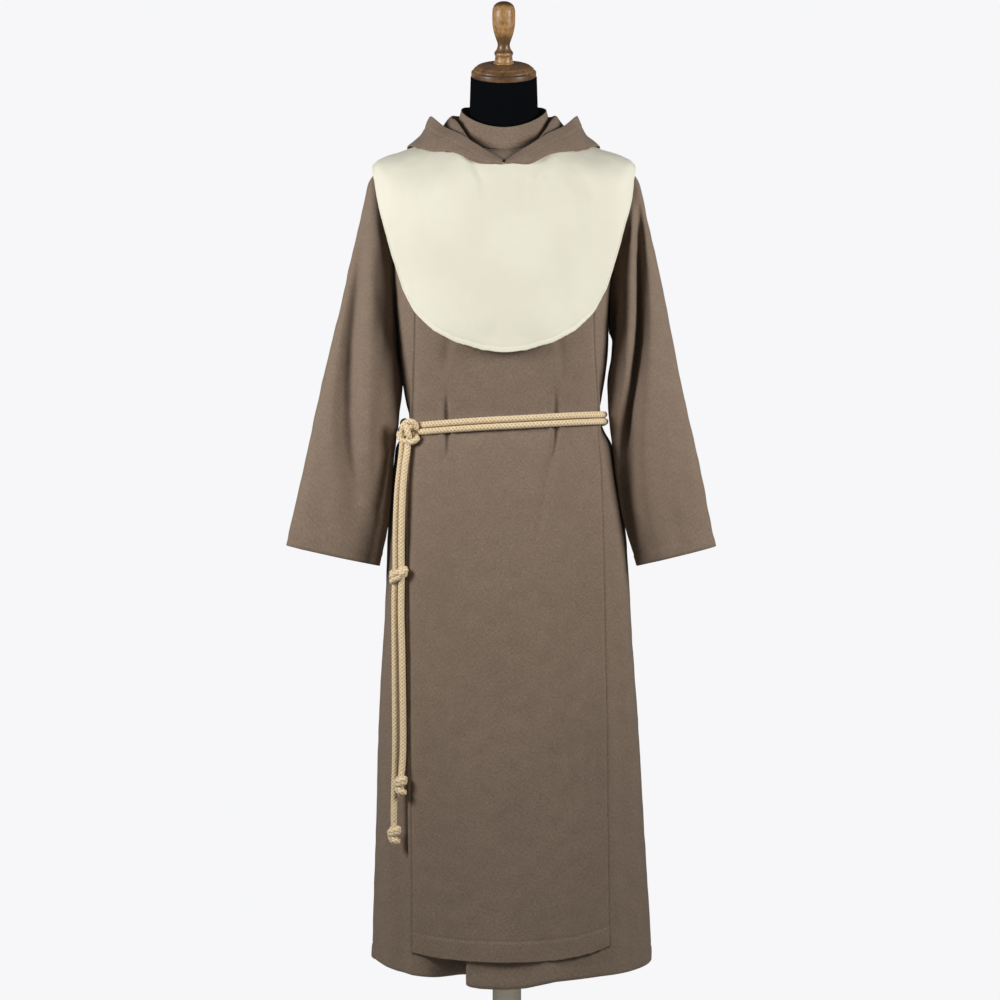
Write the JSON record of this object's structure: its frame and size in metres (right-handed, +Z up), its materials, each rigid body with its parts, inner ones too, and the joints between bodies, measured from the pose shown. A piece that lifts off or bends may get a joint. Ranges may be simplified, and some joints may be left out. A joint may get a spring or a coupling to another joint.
{
  "type": "monk habit on dress form",
  "caption": "Long brown habit with a scapular, round white shoulder cape, lowered hood and knotted rope belt, worn by a limbless dress form on a round-based stand.",
  "frame": {"origin": "centre of the stand's base, on its underside", "axes": "+Z up, the habit's front faces -Y, the wearer's left is +X"},
  "size_m": [0.7428, 0.4045, 1.8376],
  "materials": {
    "wool": "matt plain-weave brown wool",
    "linen": "matt off-white cotton or linen",
    "rope": "braided straw-coloured cotton rope",
    "jersey": "black stretch jersey",
    "wood": "turned and varnished",
    "steel": "satin grey-beige paint"
  },
  "bodies": {
    "root": {"tunic_front": "wool", "tunic_back": "wool", "sleeve_right": "wool", "sleeve_left": "wool", "collar": "wool", "scapular_front": "wool", "scapular_back": "wool", "cape_front": "linen", "cape_back": "linen", "hood_left": "wool", "hood_right": "wool", "belt_upper": "rope", "belt_lower": "rope", "belt_knot": "rope", "tail_long": "rope", "tail_short": "rope", "knot_middle": "rope", "knot_short_end": "rope", "knot_long_end": "rope", "form_torso": "jersey", "form_neck_plate": "wood", "form_finial": "wood", "form_pole": "steel", "form_base": "steel"}
  },
  "joints": []
}
